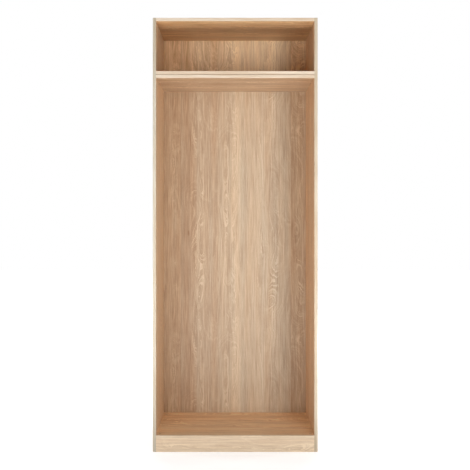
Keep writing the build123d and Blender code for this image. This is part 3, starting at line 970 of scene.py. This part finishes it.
def glide_pad(height, socket_floor):
    """Glide: hexagon flange that tapers to a neck with the spindle's socket, on a ring sole."""
    pad = round_blank("glide", pad_across_flats / 2 * hexagon, 0.0, pad_flange,
                      sides=6, turn=math.pi / 6)
    begin(pad)
    pick_end(pad_flange, 1)
    draw_out(height - pad_flange, pad_neck / pad_across_flats)
    done()
    ease_edges(pad, 0.7 * mm, segments=3)
    begin(pad)
    pick_end(0.0, -1)
    bpy.ops.mesh.inset(thickness=sole_edge)
    step_in(sole_slope, sole_recess)
    done()
    shape_with(pad, round_blank("socket", pad_socket_radius, socket_floor, height + mm))
    return pad


def foot_housing(low, high):
    """Moulded housing whose plate lies on a side's inner face: webs carry a bored boss, and a
    ribbed peg goes into the side."""
    housing = square_blank("plate", (0.0, -housing_half_width, low),
                           (housing_plate, housing_half_width, high))
    for y in (-web_offset, web_offset):
        web = square_blank("web", (web_root, y - housing_web / 2, low),
                           (spindle_to_side, y + housing_web / 2, high))
        shape_with(housing, web, "UNION")
    axis = (spindle_to_side, 0.0)
    shape_with(housing, round_blank("boss", boss_radius, low, high, at=axis), "UNION")
    shape_with(housing, round_blank("bore", bore_radius, low - mm, high + mm, at=axis))
    ease_edges(housing, 0.5 * mm, segments=2)
    peg = round_blank("peg", peg_radius, 0.0, peg_root, sides=32)
    begin(peg)
    pick_end(peg_root, 1)
    for rise, grow in peg_ribs * 3:
        draw_out(rise * mm, grow)
    draw_out(1.8 * mm, 0.85)
    done()
    set_down(peg, (0.0, 0.0, (low + high) / 2), (0.0, -math.pi / 2, 0.0))
    return joined("housing", [housing, peg])


# --- Fittings in their places --------------------------------------------------------------------
feet = ("front_left", "rear_left", "front_right", "rear_right")
foot_middles = {foot: sum(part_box(f"{foot}_foot_pad"), Vector()) / 2 for foot in feet}

cap_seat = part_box("access_hole_caps")[1].z - cap_flange
mount(set_of("push-in_access_caps", access_cap(),
             [((middle.x, middle.y, cap_seat), upright) for middle in foot_middles.values()]),
      "access_hole_caps", "carcass")
for unit in ("base", "top_box"):
    mount(set_of(f"{unit}_cams", cam_lock(), cam_places(f"{unit}_cam_locks")),
          f"{unit}_cam_locks", "carcass")

joining_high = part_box("unit_joining_screws")[1]
joining_x, joining_y = (reach - hidden_corner * screw_head_radius for reach in joining_high.xy)
mount(set_of("countersunk_joining_screws", joining_screw(),
             [((end * joining_x, row * joining_y, joining_high.z), upright)
              for end in (-1, 1) for row in (-1, 1)]),
      "unit_joining_screws", "carcass")

bracket_low, bracket_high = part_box("wall_bracket_screws")
bracket_x = bracket_high.x - hidden_corner * screw_head_radius
bracket_y = (bracket_low.y + bracket_high.y) / 2
bracket_seat = bracket_high.z - pan_head_height
mount(set_of("pan_head_screws", bracket_screw(),
             [((end * bracket_x, bracket_y, bracket_seat), upright) for end in (-1, 1)]),
      "wall_bracket_screws", "carcass")

spindle_low, spindle_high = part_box("front_left_foot_spindle")
spindle = threaded_spindle(spindle_low.z, spindle_high.z)
glide = glide_pad(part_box("front_left_foot_pad")[1].z, spindle_low.z)
for foot, middle in foot_middles.items():
    for pattern, kind, slot in ((spindle, "spindle", "zinc_plated_steel"),
                                (glide, "pad", "black_plastic")):
        piece = copy_of(pattern, (middle.x, middle.y, 0.0))
        piece.name = piece.data.name = f"{foot}_foot_{kind}_detail"
        mount(piece, f"{foot}_foot_{kind}", f"{foot}_foot")
for pattern in (spindle, glide):
    bpy.data.objects.remove(pattern)

housing_low, housing_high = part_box("levelling_foot_housings")
mount(set_of("moulded_foot_housings", foot_housing(housing_low.z, housing_high.z),
             [((math.copysign(inner_half, middle.x), middle.y, 0.0),
               (0.0, 0.0, math.pi if middle.x > 0 else 0.0))
              for middle in foot_middles.values()]),
      "levelling_foot_housings", "carcass")

# --- Floor, light and camera ---------------------------------------------------------------------
white = (1.0, 1.0, 1.0, 1.0)
floor_grey = (0.80, 0.80, 0.80, 1.0)
floor_size = 30.0
shadow_reach, white_from = 0.9, 4.0  # distances from the middle of the floor
shadow_glow = 0.60  # glow of the floor that keeps the shadow, against 1 where it is white
world_strength = 0.12
carcass_middle = (0.0, 0.0, 1.3)


def shown_white(tree):
    """1 for what the camera, a mirror image or a view through glass sees, and 0 for light."""
    rays = tree.nodes.new("ShaderNodeLightPath").outputs
    seen = calc(tree, "MAXIMUM", rays["Is Camera Ray"], rays["Is Glossy Ray"])
    return calc(tree, "MAXIMUM", seen, rays["Is Transmission Ray"])


def studio_floor():
    """Pale floor that shows white and keeps the shadow of what stands on it."""
    bpy.ops.mesh.primitive_plane_add(size=floor_size, location=(0.0, 0.0, 0.0))
    floor = bpy.context.active_object
    floor.name = "floor"
    material = bpy.data.materials.new("Studio floor")
    material.use_nodes = True
    tree = material.node_tree
    shader = tree.nodes["Principled BSDF"]
    for label, value in (("Base Color", floor_grey), ("Roughness", 0.9),
                         ("Specular IOR Level", 0.0), ("Emission Color", white)):
        shader.inputs[label].default_value = value
    away = vector_calc(tree, "LENGTH", object_place(tree))
    glow = between(tree, away, shadow_reach, white_from, shadow_glow, 1.0, smooth=True)
    tree.links.new(times(tree, shown_white(tree), glow), shader.inputs["Emission Strength"])
    floor.data.materials.append(material)


def studio_world():
    """Even light from all round, faint on things. It shows as plain white."""
    world = bpy.data.worlds.new("Studio")
    bpy.context.scene.world = world
    world.use_nodes = True
    tree = world.node_tree
    light = tree.nodes["Background"]
    light.inputs["Color"].default_value = white
    strength = between(tree, shown_white(tree), 0.0, 1.0, world_strength, 1.0)
    tree.links.new(strength, light.inputs["Strength"])


def softbox(name, width, height, place, aim, power):
    """Rectangular lamp that faces a point."""
    lamp = bpy.data.lights.new(name, "AREA")
    lamp.shape = "RECTANGLE"
    lamp.size, lamp.size_y, lamp.energy = width, height, power
    holder = bpy.data.objects.new(name, lamp)
    bpy.context.scene.collection.objects.link(holder)
    holder.location = place
    holder.rotation_euler = (Vector(aim) - Vector(place)).to_track_quat("-Z", "Y").to_euler()


def studio_camera():
    """Level camera in front of the wardrobe."""
    camera = bpy.data.objects.new("camera", bpy.data.cameras.new("camera"))
    bpy.context.scene.collection.objects.link(camera)
    camera.location = (-0.0186, -5.210, 1.310)
    camera.rotation_euler = (math.radians(90.0), 0.0, 0.0)
    camera.data.sensor_width = 36.0
    camera.data.lens = 69.05
    camera.data.shift_x = 0.0068
    camera.data.shift_y = -0.0490
    camera.data.clip_end = 100.0
    bpy.context.scene.camera = camera


studio_floor()
studio_world()
softbox("right softbox", 1.2, 2.4, (1.6, -4.6, 1.45), carcass_middle, 85.0)
softbox("left softbox", 1.2, 1.2, (-1.6, -4.6, 0.75), carcass_middle, 56.0)
for side, hand in (("left", -1), ("right", 1)):
    softbox(f"rear {side} softbox", 1.2, 2.4, (2.4 * hand, 4.6, 1.8), carcass_middle, 65.0)
    softbox(f"side {side} softbox", 1.2, 2.4, (4.4 * hand, 0.9, 1.6), carcass_middle, 72.0)
softbox("overhead softbox", 1.6, 1.6, (0.0, 0.9, 4.3), (0.0, 0.0, 2.4), 60.0)
softbox("low reflector", 2.2, 0.6, (0.0, -1.5, 0.02), (0.0, -1.5, 3.0), 34.0)
studio_camera()
bpy.context.scene.view_settings.view_transform = "Standard"
